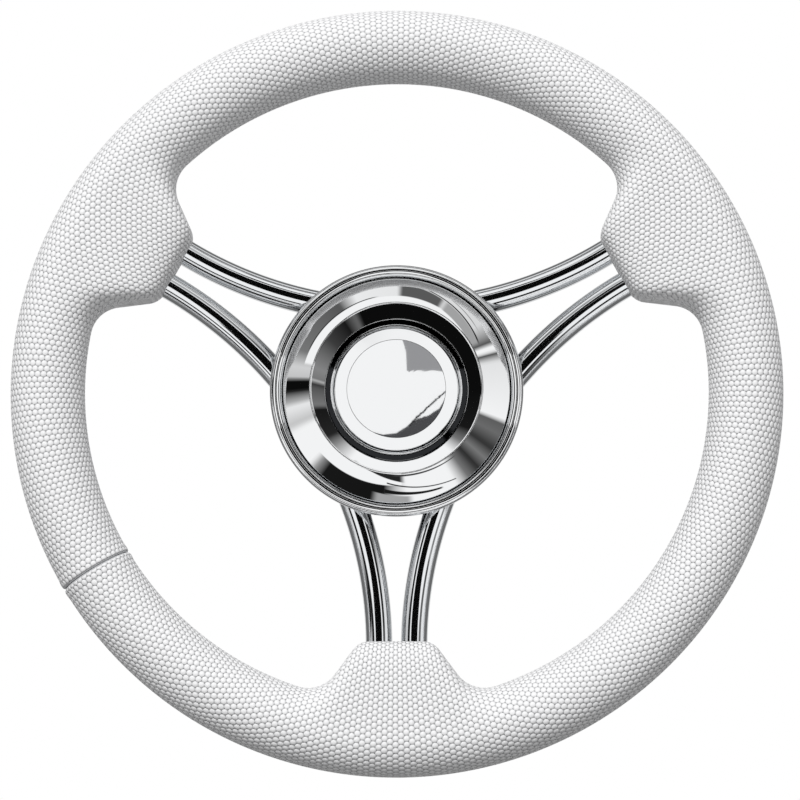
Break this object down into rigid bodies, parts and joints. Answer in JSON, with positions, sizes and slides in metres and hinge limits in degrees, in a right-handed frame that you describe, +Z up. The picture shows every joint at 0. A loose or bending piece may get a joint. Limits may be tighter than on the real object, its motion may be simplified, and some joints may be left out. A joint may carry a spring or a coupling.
{
  "type": "boat steering wheel",
  "caption": "Boat steering wheel with a soft moulded grip, bent bright spoke rods in pairs, and a bright domed hub cover with a plain cap.",
  "frame": {"origin": "on the wheel's axis, in the rear face of the hub, where the large end of the tapered bore opens", "axes": "+Y along the axis, away from the driver and out of the hub's rear; +Z up, with one spoke pointing straight down; +X to the driver's right"},
  "size_m": [0.35, 0.0768, 0.35],
  "materials": {
    "grip_foam": "soft white foam skin with a fine beaded grain",
    "hoop_steel": "plain rolled steel, hidden in the grip",
    "rod_steel": "polished bright",
    "plate_steel": "brushed",
    "hub_aluminium": "satin, turned",
    "screw_steel": "plain bright",
    "cover_chrome": "mirror bright"
  },
  "bodies": {
    "root": {"rim_grip": "grip_foam", "rim_hoop": "hoop_steel", "spoke_rod_top": "rod_steel", "spoke_rod_left": "rod_steel", "spoke_rod_right": "rod_steel", "hub_plate": "plate_steel", "hub_boss": "hub_aluminium", "hub_screws": "screw_steel", "hub_cover": "cover_chrome", "cap_bezel": "cover_chrome", "bezel_screws": "screw_steel", "centre_cap": "cover_chrome"}
  },
  "joints": []
}
